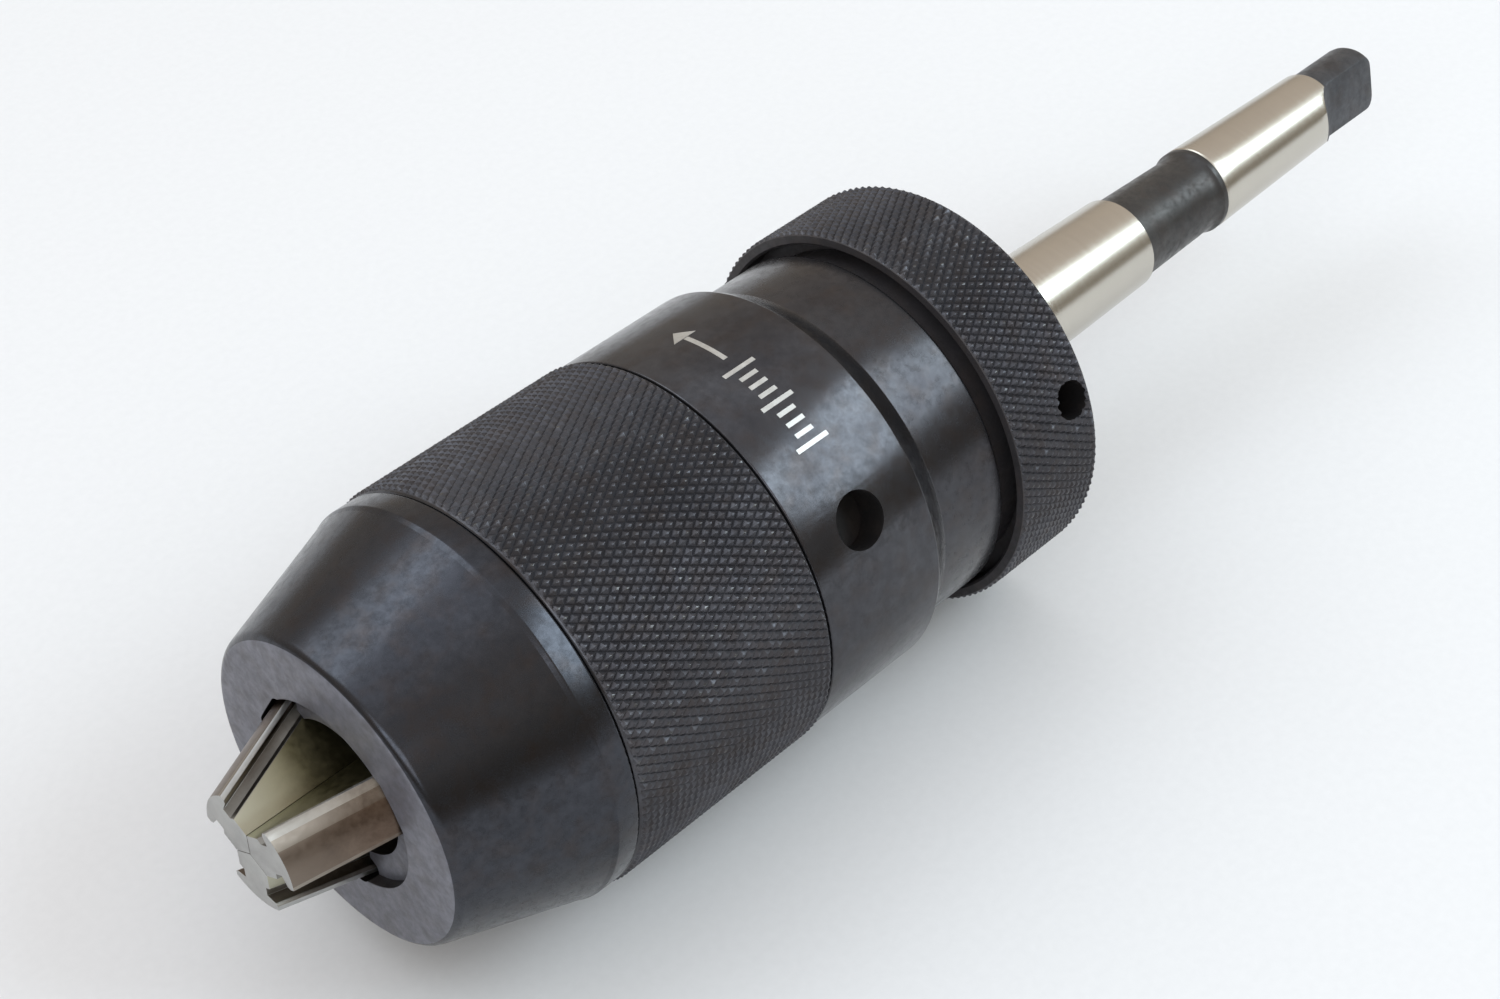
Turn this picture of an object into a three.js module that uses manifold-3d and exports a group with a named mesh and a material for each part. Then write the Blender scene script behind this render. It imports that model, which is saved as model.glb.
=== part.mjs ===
// Keyless drill chuck on a Morse taper shank, jaws closed.
// Millimetres. +X runs along the chuck axis from the nose to the tang, +Z is up.
// The origin is on the axis, in the gauge plane of the Morse taper.
// A roll angle is measured about the axis, from +Z towards -Y.
import * as THREE from 'three';
import { mergeVertices } from 'three/addons/utils/BufferGeometryUtils.js';
import Module from 'manifold-3d';

const wasm = await Module();
wasm.setup();

const ROUND = 48;
const RAD = Math.PI / 180;

// Morse taper no. 1 shank with tang, and the no. 33 short taper inside the body
const GAUGE_R = 12.065 / 2;
const MORSE = 0.04988 / 2;
const TANG_END = 62;
const TANG_R = 4.35;
const TANG_HALF = 2.6;
const TANG_ROLL = 75;
const TANG_ROOT_R = 5;
const TANG_FLAT = 53.5;
const GROUND_END = 51.6;
const SHORT_SMALL_R = 14.237 / 2;
const SHORT_LARGE_R = 15.85 / 2;
const SHORT_X0 = -43;
const SHORT_X1 = -17.6;

// outside of the chuck
const TIP_X = -114.2;
const FACE_X = -104.4;
const FACE_R = 17.05;
const CONE_X = -89.6;
const CONE_R = 21.95;
const HOOD_R = 22.2;
const GRIP_X0 = -86.3;
const GRIP_X1 = -60.2;
const GRIP_R = 22.5;
const BAND_R = 22.25;
const BAND_X1 = -44.4;
const NECK_X = -41.4;
const NECK_R = 20.5;
const SHELL_X1 = -32.2;
const RING_X0 = -30.9;
const RING_X1 = -19;
const RING_R = 22.45;
const SLEEVE_HOLE_ROLL = 57;
const RING_HOLE_ROLL = 65.4;

// jaws and their slots
const SLANT = 20.5 * RAD;
const JAW_ROLLS = [-60, 60, 180];
const JAW_OUT = 6.3;
const JAW_TRIM_R = 12.6;
const JAW_SEAT_X = -95.2;
const JAW_GAP = 0.03;
const FLANGE_HALF = 3.1;
const WEB_HALF = 2.2;
const BORE_R = 7.5;
const RECESS_R = 10.35;
const RECESS_X = -103.1;

// inside
const GRIP_BORE_R = 19.5;
const SKIRT_R = 19.3;
const HUB_R = 12.6;
const HEAD_R = 14.5;
const HEAD_X0 = -95;
const HEAD_X1 = -88;
const SCREW_R = 8;
const SCREW_X1 = -61;
const BODY_X0 = -70.2;
const PITCH_R = 15.2;
const BALL_R = 1.75;
const BALL_X = -52;
const BALLS = 12;

const finish = (color, metalness, roughness) =>
  new THREE.MeshStandardMaterial({ color, metalness, roughness });
const MATERIALS = {
  black_steel: finish(0x2b2b30, 0.6, 0.45),
  ground_steel: finish(0xb9b4aa, 0.9, 0.3),
  jaw_steel: finish(0xa79b86, 0.9, 0.35),
  bearing_steel: finish(0xc9ccd0, 1.0, 0.15),
  bronze: finish(0xa8793f, 0.8, 0.4),
};

// Closed manifold from any three.js geometry, turned to face outwards.
function solid(geometry) {
  const bare = new THREE.BufferGeometry();
  bare.setAttribute('position', geometry.getAttribute('position'));
  bare.setIndex(geometry.getIndex());
  const merged = mergeVertices(bare, 1e-4);
  const position = merged.getAttribute('position');
  const index = merged.getIndex().array;
  const corner = [new THREE.Vector3(), new THREE.Vector3(), new THREE.Vector3()];
  const triangles = [];
  let volume = 0;
  for (let i = 0; i < index.length; i += 3) {
    const [a, b, c] = [index[i], index[i + 1], index[i + 2]];
    if (a === b || b === c || a === c) continue;
    triangles.push([a, b, c]);
    corner[0].fromBufferAttribute(position, a);
    corner[1].fromBufferAttribute(position, b);
    corner[2].fromBufferAttribute(position, c);
    volume += corner[0].dot(corner[1].clone().cross(corner[2])) / 6;
  }
  const wound = volume < 0 ? triangles.map(([a, b, c]) => [a, c, b]) : triangles;
  return new wasm.Manifold(new wasm.Mesh({
    numProp: 3,
    vertProperties: new Float32Array(position.array),
    triVerts: new Uint32Array(wound.flat()),
  }));
}

// Solid of revolution about X from [x, radius] points.
// A profile that does not start and end on the axis closes on itself.
function revolve(points, segments = ROUND) {
  const profile = points.map(([x, r]) => new THREE.Vector2(r, x));
  const onAxis = points[0][1] === 0 && points[points.length - 1][1] === 0;
  if (!onAxis) profile.push(profile[0].clone());
  return solid(new THREE.LatheGeometry(profile, segments).rotateZ(-Math.PI / 2));
}

const tube = (x0, x1, inner, outer) =>
  revolve([[x0, inner], [x0, outer], [x1, outer], [x1, inner]]);
const rod = (x0, x1, radius, segments = ROUND) =>
  revolve([[x0, 0], [x0, radius], [x1, radius], [x1, 0]], segments);

// Turns a piece built at roll 0 (radial direction +Z) about the axis.
const roll = (piece, degrees) => piece.rotate([degrees, 0, 0]);

// Straight prism of an [across, height] outline.
// It runs from start along direction; height is measured along up.
function prism(outline, start, direction, up, length) {
  const shape = new THREE.Shape(outline.map(([a, h]) => new THREE.Vector2(a, h)));
  const geometry = new THREE.ExtrudeGeometry(shape, { depth: length, bevelEnabled: false });
  const along = direction.clone().normalize();
  const height = up.clone().normalize();
  const across = height.clone().cross(along);
  const place = new THREE.Matrix4().makeBasis(across, height, along).setPosition(start);
  return solid(geometry.applyMatrix4(place));
}

const UP = new THREE.Vector3(0, 0, 1);
const ALONG = new THREE.Vector3(1, 0, 0);

// Box at roll 0: x range, radial range, half width across.
const radialBox = (x0, x1, r0, r1, half) => prism(
  [[-half, r0], [half, r0], [half, r1], [-half, r1]],
  new THREE.Vector3(x0, 0, 0), ALONG, UP, x1 - x0);

// Round hole drilled towards the axis at roll 0.
function radialHole(x, radius, r0, r1) {
  const drill = new THREE.CylinderGeometry(radius, radius, r1 - r0, 24);
  drill.rotateX(Math.PI / 2).translate(x, 0, (r0 + r1) / 2);
  return solid(drill);
}

const morseR = (x) => GAUGE_R - MORSE * x;
const shortR = (x) => SHORT_SMALL_R
  + (SHORT_LARGE_R - SHORT_SMALL_R) * (x - SHORT_X0) / (SHORT_X1 - SHORT_X0);

// Slide direction of a jaw at roll 0, and the height direction square to it.
const SLIDE = new THREE.Vector3(Math.cos(SLANT), 0, Math.sin(SLANT));
const LIFT = new THREE.Vector3(-Math.sin(SLANT), 0, Math.cos(SLANT));
const SLOT_START = new THREE.Vector3(TIP_X, 0, 0).addScaledVector(SLIDE, -16);

// T-shaped outline, head up: the round back is an arc about the chuck axis.
function jawOutline(half, web, neck, back, under, grooveLow) {
  const c = Math.cos(SLANT);
  const arc = [];
  for (let i = -4; i <= 4; i += 1) {
    const a = half * i / 4;
    arc.push([-a, c * Math.sqrt(back * back - a * a)]);
  }
  return [
    [-web, -14], [web, -14], [web, c * grooveLow], [neck, c * (grooveLow + 0.3)],
    [neck, c * under], [half - 0.3, c * (under + 0.1)], [half, c * (under + 0.4)],
    ...arc,
    [-half, c * (under + 0.4)], [-half + 0.3, c * (under + 0.1)],
    [-neck, c * under], [-neck, c * (grooveLow + 0.3)], [-web, c * grooveLow],
  ];
}

// T-slot outline with round ends to the wide part.
function slotOutline() {
  const c = Math.cos(SLANT);
  const web = WEB_HALF + 0.2;
  const low = 4.1 * c;
  const high = (JAW_OUT + 0.4) * c;
  const half = 3.5;
  const end = (high - low) / 2;
  const ends = [];
  for (let i = 0; i <= 6; i += 1) {
    const a = -Math.PI / 2 + Math.PI * i / 6;
    ends.push([half - end + end * Math.cos(a), (low + high) / 2 + end * Math.sin(a)]);
  }
  const other = ends.map(([a, h]) => [-a, h]).reverse();
  return [[-web, -6], [web, -6], [web, low], ...ends, ...other, [-web, low]];
}

function makeArbor() {
  const shaft = revolve([
    [SHORT_X0, 0], [SHORT_X0, SHORT_SMALL_R - 0.4], [SHORT_X0 + 0.6, shortR(SHORT_X0 + 0.6)],
    [SHORT_X1, SHORT_LARGE_R], [SHORT_X1 + 0.6, SHORT_LARGE_R - 0.3],
    [SHORT_X1 + 1.8, morseR(SHORT_X1 + 1.8)],
    [12.9, morseR(12.9)], [13.3, morseR(13.3) - 0.45],
    [24.4, morseR(24.4) - 0.45], [24.8, morseR(24.8) - 0.05],
    [27.9, morseR(27.9) - 0.05], [28.1, morseR(28.1)],
    [GROUND_END, morseR(GROUND_END)], [GROUND_END + 0.6, TANG_R],
    [TANG_END - 1.2, TANG_R], [TANG_END - 0.35, TANG_R - 0.35], [TANG_END, TANG_R - 1.2],
    [TANG_END, 0],
  ]);
  // flat plus the cutter's run-out arc, both sides
  const side = [[TANG_END + 1, TANG_HALF], [TANG_END + 1, 9]];
  const rise = Math.sqrt(TANG_ROOT_R ** 2 - (TANG_ROOT_R - 3.4) ** 2);
  side.push([TANG_FLAT - rise, 9]);
  for (let i = 6; i >= 0; i -= 1) {
    const a = Math.asin(rise / TANG_ROOT_R) * i / 6;
    side.push([
      TANG_FLAT - TANG_ROOT_R * Math.sin(a),
      TANG_HALF + TANG_ROOT_R * (1 - Math.cos(a)),
    ]);
  }
  const cutter = prism(
    side.map(([x, h]) => [h, x]), new THREE.Vector3(0, -8, 0),
    new THREE.Vector3(0, 1, 0), ALONG, 16);
  const upper = cutter.boundingBox().max[2] > 8 ? cutter : cutter.rotate([180, 0, 0]);
  const cut = upper.add(upper.rotate([180, 0, 0]));
  return shaft.subtract(roll(cut, TANG_ROLL));
}

function makeBody() {
  return revolve([
    [BODY_X0, SCREW_R + 0.8], [BODY_X0, HUB_R - 0.5], [BODY_X0 + 0.5, HUB_R],
    [-60, HUB_R], [-60, 17.6], [-56, 17.6], [-56, HUB_R],
    [-19.9, HUB_R], [-19.4, HUB_R - 0.5],
    [-19.4, shortR(-19.4) + 0.03], [SHORT_X0, SHORT_SMALL_R + 0.03],
    [SHORT_X0 - 0.3, SCREW_R + 0.2], [BODY_X0 + 0.6, SCREW_R + 0.2],
  ]);
}

function makeRing() {
  const ring = revolve([
    [RING_X0, 12.65], [RING_X0, 14.2], [-28, 14.2], [-28, 21],
    [RING_X0 + 0.2, 21], [RING_X0, 21.2], [RING_X0, RING_R - 0.35],
    [RING_X0 + 0.35, RING_R], [RING_X1 - 0.25, RING_R],
    [RING_X1, RING_R - 0.25], [RING_X1, 12.65],
  ]);
  return ring.subtract(roll(radialHole(-21.7, 2.1, 17.6, 24), RING_HOLE_ROLL));
}

function makeHood() {
  // round of radius 1.2 between the face and the cone
  const fillet = [[FACE_X, FACE_R - 0.87], [FACE_X + 0.1, FACE_R - 0.38],
    [FACE_X + 0.4, FACE_R + 0.02], [FACE_X + 0.82, FACE_R + 0.27]];
  let hood = revolve([
    [RECESS_X, BORE_R], [RECESS_X, RECESS_R], [FACE_X, RECESS_R], ...fillet,
    [CONE_X, CONE_R], [CONE_X + 0.5, HOOD_R], [GRIP_X0 - 0.5, HOOD_R],
    [GRIP_X0 - 0.1, HOOD_R - 0.4], [GRIP_X0 - 0.1, SKIRT_R],
    [-82, SKIRT_R], [-82, 16.6], [-86.4, 16.6], [-86.4, HEAD_R + 0.3],
    [-95.3, HEAD_R + 0.3], [-95.3, BORE_R],
  ]);
  for (const angle of JAW_ROLLS) {
    const slot = prism(slotOutline(), SLOT_START, SLIDE, LIFT, 60);
    hood = hood.subtract(roll(slot, angle));
  }
  return hood;
}

function makeGrip() {
  return revolve([
    [GRIP_X0, GRIP_BORE_R], [GRIP_X0, GRIP_R - 0.5], [GRIP_X0 + 0.5, GRIP_R],
    [GRIP_X1 - 0.5, GRIP_R], [GRIP_X1, GRIP_R - 0.5], [GRIP_X1, GRIP_BORE_R],
  ]);
}

function makeShell() {
  const shell = revolve([
    [-66, 17.9], [-66, SKIRT_R - 0.3], [-65.7, SKIRT_R], [GRIP_X1 + 0.1, SKIRT_R],
    [GRIP_X1 + 0.1, BAND_R], [BAND_X1, BAND_R], [NECK_X, NECK_R],
    [SHELL_X1 - 0.5, NECK_R], [SHELL_X1, NECK_R - 0.5],
    [SHELL_X1, 13.8], [-48, 13.8], [-48, 17.9],
  ]);
  return shell.subtract(roll(radialHole(-52.7, 3, 18.6, 24), SLEEVE_HOLE_ROLL));
}

function makeCage() {
  let cage = tube(BALL_X - 0.7, BALL_X + 0.7, 12.9, 17.5);
  for (let i = 0; i < BALLS; i += 1) {
    const hole = rod(BALL_X - 2, BALL_X + 2, BALL_R + 0.12, 16).translate([0, 0, PITCH_R]);
    cage = cage.subtract(roll(hole, 360 * i / BALLS));
  }
  return cage;
}

function makeBall(i) {
  const ball = solid(new THREE.SphereGeometry(BALL_R, 12, 8));
  return roll(ball.translate([BALL_X, 0, PITCH_R]), 360 * i / BALLS);
}

function makeScrew() {
  let screw = revolve([
    [HEAD_X0, 0], [HEAD_X0, HEAD_R - 0.4], [HEAD_X0 + 0.4, HEAD_R],
    [HEAD_X1 - 0.4, HEAD_R], [HEAD_X1, HEAD_R - 0.4],
    [HEAD_X1, SCREW_R], [SCREW_X1 - 0.8, SCREW_R], [SCREW_X1, SCREW_R - 0.8],
    [SCREW_X1, 0],
  ]);
  for (const angle of JAW_ROLLS) {
    const throat = radialBox(HEAD_X0 - 1, -92, 0, 16, WEB_HALF + 0.15);
    const foot = radialBox(-92.25, -89.35, 0, 16, 3.95);
    screw = screw.subtract(roll(throat.add(foot), angle));
  }
  return screw;
}

function makeJaw(angle) {
  const outline = jawOutline(FLANGE_HALF, WEB_HALF, 1.6, JAW_OUT, 4.55, 3.2);
  const bar = prism(outline, SLOT_START, SLIDE, LIFT, 60);
  const reach = 16;
  const flare = reach * Math.tan(60 * RAD);
  const wedge = prism(
    [[0, JAW_GAP], [flare, reach], [-flare, reach]],
    new THREE.Vector3(TIP_X, 0, 0), ALONG, UP, JAW_SEAT_X - TIP_X);
  const grip = bar.intersect(wedge).intersect(rod(TIP_X - 1, -80, JAW_TRIM_R, 64));
  const throat = radialBox(JAW_SEAT_X - 1, -91.9, 2.6, 12, WEB_HALF - 0.1);
  const foot = radialBox(-92.1, -89.6, 2.6, 12, 3.7);
  return roll(grip.add(throat).add(foot), angle);
}

const chuck = new THREE.Group();
chuck.name = 'drill_chuck';

function addPiece(group, name, piece, material) {
  const mesh = piece.getMesh();
  const geometry = new THREE.BufferGeometry();
  geometry.setAttribute('position', new THREE.BufferAttribute(mesh.vertProperties, 3));
  geometry.setIndex(new THREE.BufferAttribute(mesh.triVerts, 1));
  geometry.computeVertexNormals();
  const part = new THREE.Mesh(geometry, MATERIALS[material]);
  part.name = name;
  group.add(part);
}

function addGroup(name) {
  const group = new THREE.Group();
  group.name = name;
  chuck.add(group);
  return group;
}

const fixed = addGroup('body_group');
addPiece(fixed, 'arbor', makeArbor(), 'ground_steel');
addPiece(fixed, 'chuck_body', makeBody(), 'black_steel');
addPiece(fixed, 'rear_ring', makeRing(), 'black_steel');
addPiece(fixed, 'front_race', tube(-55.95, -53.85, 12.7, 17.4), 'bearing_steel');
addPiece(fixed, 'bearing_bush', tube(-47.6, -32, 12.65, 13.6), 'bronze');
addPiece(fixed, 'thrust_washer', tube(-31.9, -28.1, 14.4, 19.2), 'bronze');

const turning = addGroup('sleeve_group');
addPiece(turning, 'nose_hood', makeHood(), 'black_steel');
addPiece(turning, 'grip_sleeve', makeGrip(), 'black_steel');
addPiece(turning, 'rear_shell', makeShell(), 'black_steel');
addPiece(turning, 'rear_race', tube(-50.15, -48.05, 13, 17.8), 'bearing_steel');

const bearing = addGroup('bearing_group');
addPiece(bearing, 'ball_cage', makeCage(), 'bronze');
for (let i = 0; i < BALLS; i += 1) {
  addPiece(bearing, `ball_${String(i + 1).padStart(2, '0')}`, makeBall(i), 'bearing_steel');
}

const feed = addGroup('feed_group');
addPiece(feed, 'drive_screw', makeScrew(), 'ground_steel');
JAW_ROLLS.forEach((angle, i) => {
  addPiece(feed, `jaw_${i + 1}`, makeJaw(angle), 'jaw_steel');
});

export default chuck;
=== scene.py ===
# Keyless drill chuck on a Morse taper shank: fine shapes, materials, floor, light and camera.
# Lengths in the tables below are millimetres in the CAD frame; every mesh is made in metres.
import math

import bmesh
import bpy
import numpy as np
from mathutils import Matrix, Vector


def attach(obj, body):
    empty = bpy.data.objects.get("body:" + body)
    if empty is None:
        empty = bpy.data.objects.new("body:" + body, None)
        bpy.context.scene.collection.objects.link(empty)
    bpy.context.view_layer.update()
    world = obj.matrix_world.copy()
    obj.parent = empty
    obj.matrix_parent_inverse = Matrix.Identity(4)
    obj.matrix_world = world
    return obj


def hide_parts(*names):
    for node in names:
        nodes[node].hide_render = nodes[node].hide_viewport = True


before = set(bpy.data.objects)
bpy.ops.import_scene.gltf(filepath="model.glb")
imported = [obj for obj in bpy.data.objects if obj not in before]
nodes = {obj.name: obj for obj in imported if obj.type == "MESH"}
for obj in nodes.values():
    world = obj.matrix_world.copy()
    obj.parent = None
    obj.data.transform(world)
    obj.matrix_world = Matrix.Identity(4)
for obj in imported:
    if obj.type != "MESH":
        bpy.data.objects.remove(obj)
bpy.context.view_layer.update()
scene = bpy.context.scene
rng = np.random.default_rng(33)

MM = 0.001
TURN = 2 * math.pi

# ---------------------------------------------------------------- sizes, as in the CAD
# _R is a radius, _X a place along the axis, _HALF half a width
GAUGE_R = 12.065 / 2
MORSE = 0.04988 / 2
TANG_END, TANG_R, TANG_HALF, TANG_ROLL = 62.0, 4.35, 2.6, 75.0
TANG_FLAT, TANG_ROOT_R, GROUND_END = 53.5, 5.0, 51.6
SHORT_SMALL_R, SHORT_LARGE_R, SHORT_X0, SHORT_X1 = 14.237 / 2, 15.85 / 2, -43.0, -17.6

TIP_X, FACE_X, FACE_R = -114.2, -104.4, 17.05
CONE_X, CONE_R, HOOD_R = -89.6, 21.95, 22.2
GRIP_X0, GRIP_X1, GRIP_R, GRIP_BORE_R = -86.3, -60.2, 22.5, 19.5
BAND_R, BAND_X1, NECK_X, NECK_R, SHELL_X1 = 22.25, -44.4, -41.4, 20.5, -32.2
RING_X0, RING_X1, RING_R = -30.9, -19.0, 22.45
RING_LIP_R, RING_POCKET_X, RING_HUB_R, RING_BORE_R = 21, -28, 14.2, 12.65
SHELL_X0, SHELL_LIP_R, SHELL_BORE_R, SHELL_SEAT_X = -66, 17.9, 13.8, -48
RELIEF_X0, RELIEF_X1, COLLAR_X1, RELIEF_DEPTH = 12.95, 13.3, 28.25, 0.45
# pin-spanner holes: x, roll, radius, and the distance of the bottom from the axis
SLEEVE_HOLE = (-52.7, 57.0, 3.0, 18.6)
RING_HOLE = (-21.7, 65.4, 2.1, 17.6)
DRILL_TOP = 24.0

SLANT = math.radians(20.5)
JAW_ROLLS = (-60.0, 60.0, 180.0)
JAW_OUT, JAW_TRIM_R, JAW_SEAT_X, JAW_GAP = 6.3, 12.6, -95.2, 0.03
FLANGE_HALF, WEB_HALF, NECK_HALF, BORE_R = 3.1, 2.2, 1.6, 7.5
SLOT_HALF = 3.5
RECESS_R, RECESS_X = 10.35, -103.1
SKIRT_R, HEAD_R, HEAD_X0, HEAD_X1 = 19.3, 14.5, -95.0, -88.0
SKIRT_X, COUNTERBORE_R, COUNTERBORE_X, HEAD_ROOM_X = -82, 16.6, -86.4, -95.3
SCREW_R, SCREW_X1, SCREW_PITCH = 8.0, -61.0, 3.5
# heights across the slanted jaw: the top of its web and the underside of its flange
WEB_TOP, FLANGE_UNDER = 3.2, 4.55
# the foot of each jaw, which hangs in a T-slot of the screw head
FOOT_X0, FOOT_X1, FOOT_R0, FOOT_R1, FOOT_HALF = -92.1, -89.6, 2.6, 12, 3.7
# diamonds round a knurled piece, their depth, and the crest's share of a diamond
KNURL_AROUND, KNURL_DEPTH, KNURL_FLAT = 136, 0.33, 0.13
# share of the diamonds with a bright crest: worn metal and partly a painted glint
WORN_AND_PAINTED_GLINT_SHARE = 0.14
MARK_X = -52.9

# points round a solid of revolution
FINE_STEPS, SHANK_STEPS, SCREW_STEPS, DRILL_STEPS = 256, 160, 96, 64


# ---------------------------------------------------------------- mesh helpers
def link(name, mesh):
    obj = bpy.data.objects.new(name, mesh)
    scene.collection.objects.link(obj)
    return obj


def mesh_object(name, verts, faces):
    mesh = bpy.data.meshes.new(name)
    mesh.from_pydata([Vector(v) * MM for v in verts], [], faces)
    mesh.validate()
    return link(name, mesh)


def face_outward(obj):
    bm = bmesh.new()
    bm.from_mesh(obj.data)
    bmesh.ops.recalc_face_normals(bm, faces=bm.faces)
    bm.to_mesh(obj.data)
    bm.free()


def finish_mesh(obj, angle=28.0):
    """Outward normals, smooth shading, and sharp edges above an angle."""
    face_outward(obj)
    obj.data.shade_smooth()
    obj.data.set_sharp_from_angle(angle=math.radians(angle))
    return obj


def fillet(corners, steps):
    """Profile points from (x, r) or (x, r, rounding) corners, each rounded by an arc."""
    out = []
    n = len(corners)
    for i, corner in enumerate(corners):
        p = np.array(corner[:2], float)
        rad = corner[2] if len(corner) > 2 else 0.0
        if rad == 0.0:
            out.append(tuple(p))
            continue
        a = np.array(corners[(i - 1) % n][:2], float) - p
        b = np.array(corners[(i + 1) % n][:2], float) - p
        la, lb = np.linalg.norm(a), np.linalg.norm(b)
        a, b = a / la, b / lb
        half = math.acos(float(np.clip(a @ b, -1, 1))) / 2
        cut = min(rad / math.tan(half), la * 0.48, lb * 0.48)
        rad = cut * math.tan(half)
        middle = (a + b) / np.linalg.norm(a + b)
        centre = p + middle * rad / math.sin(half)
        start, end = p + a * cut - centre, p + b * cut - centre
        sweep = math.acos(float(np.clip(start @ end / rad ** 2, -1, 1)))
        for k in range(steps + 1):
            t = k / steps
            if sweep < 1e-6:
                d = start
            else:
                d = math.sin((1 - t) * sweep) * start + math.sin(t * sweep) * end
                d = d / math.sin(sweep)
            out.append(tuple(centre + d))
    return out


def lathe(name, profile, segments):
    """Solid of revolution about X. Profile points on the axis close it; otherwise it is a ring."""
    verts, rows = [], []
    for x, r in profile:
        if r < 1e-9:
            rows.append([len(verts)] * segments)
            verts.append((x, 0.0, 0.0))
        else:
            rows.append(list(range(len(verts), len(verts) + segments)))
            for k in range(segments):
                t = TURN * k / segments
                verts.append((x, -r * math.sin(t), r * math.cos(t)))
    solid_ends = profile[0][1] < 1e-9 and profile[-1][1] < 1e-9
    faces = []
    for low, high in zip(rows, rows[1:] if solid_ends else rows[1:] + rows[:1]):
        for k in range(segments):
            j = (k + 1) % segments
            face = [low[k], high[k], high[j], low[j]]
            face = [v for i, v in enumerate(face) if v not in face[:i]]
            if len(face) > 2:
                faces.append(face)
    return mesh_object(name, verts, faces)


def prism(name, outline, start, direction, up, length):
    """Straight prism of an [across, height] outline, from start along direction."""
    along = Vector(direction).normalized()
    height = Vector(up).normalized()
    across = height.cross(along)
    verts = [Vector(start) + across * a + height * h + along * d
             for d in (0.0, length) for a, h in outline]
    n = len(outline)
    faces = [list(range(n))[::-1], list(range(n, 2 * n))]
    faces += [[i, (i + 1) % n, n + (i + 1) % n, n + i] for i in range(n)]
    return mesh_object(name, verts, faces)


def roll(obj, degrees):
    """Turns the mesh about X; a roll is measured from +Z towards -Y."""
    obj.data.transform(Matrix.Rotation(math.radians(degrees), 4, "X"))
    return obj


def boolean(obj, other, operation):
    """Applies a boolean with another object, which is used up."""
    face_outward(obj)
    face_outward(other)
    modifier = obj.modifiers.new("cut", "BOOLEAN")
    modifier.operation = operation
    modifier.solver = "EXACT"
    modifier.object = other
    apply_modifiers(obj)
    bpy.data.objects.remove(other)


def apply_modifiers(obj):
    bpy.context.view_layer.update()
    graph = bpy.context.evaluated_depsgraph_get()
    mesh = bpy.data.meshes.new_from_object(obj.evaluated_get(graph), depsgraph=graph)
    obj.modifiers.clear()
    old = obj.data
    obj.data = mesh
    bpy.data.meshes.remove(old)
    mesh.name = obj.name


def bevel(obj, width, angle):
    """Rounds the edges above an angle."""
    modifier = obj.modifiers.new("edge", "BEVEL")
    modifier.width = width * MM
    modifier.segments = 2
    modifier.limit_method = "ANGLE"
    modifier.angle_limit = math.radians(angle)
    modifier.use_clamp_overlap = True
    apply_modifiers(obj)


def paint(obj, materials, choose=None):
    """Materials in slots; choose(centre in mm, normal) picks one of them for each face.
    Without choose, the faces keep the slot numbers they carry.
    """
    polygons = obj.data.polygons
    index = np.zeros(len(polygons), np.int32)
    if choose:
        slots = {m.name: i for i, m in enumerate(materials)}
        index[:] = [slots[choose(f.center / MM, f.normal).name] for f in polygons]
    else:
        polygons.foreach_get("material_index", index)
    obj.data.materials.clear()
    for m in materials:
        obj.data.materials.append(m)
    polygons.foreach_set("material_index", index)
    obj.data.update()


def place(obj, body, slot, *replaced):
    """Names the body a piece rides on and hides the CAD nodes it stands for; slot is not used."""
    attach(obj, body)
    if replaced:
        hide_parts(*replaced)


def radial_drill(hole):
    """Round cutter aimed at the axis, for a pin-spanner hole."""
    x, angle, radius, bottom = hole
    profile = [(bottom, 0), (bottom, radius), (DRILL_TOP, radius), (DRILL_TOP, 0)]
    drill = lathe("drill", profile, DRILL_STEPS)
    drill.data.transform(Matrix.Rotation(-math.pi / 2, 4, "Y"))
    drill.data.transform(Matrix.Translation((x * MM, 0, 0)))
    return roll(drill, angle)


# ---------------------------------------------------------------- materials
def fill_ramp(node, stops):
    """Gives a colour ramp its (position, (r, g, b)) stops."""
    elements = node.color_ramp.elements
    while len(elements) < len(stops):
        elements.new(0.5)
    for element, (position, colour) in zip(elements, stops):
        element.position, element.color = position, (*colour, 1)


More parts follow.
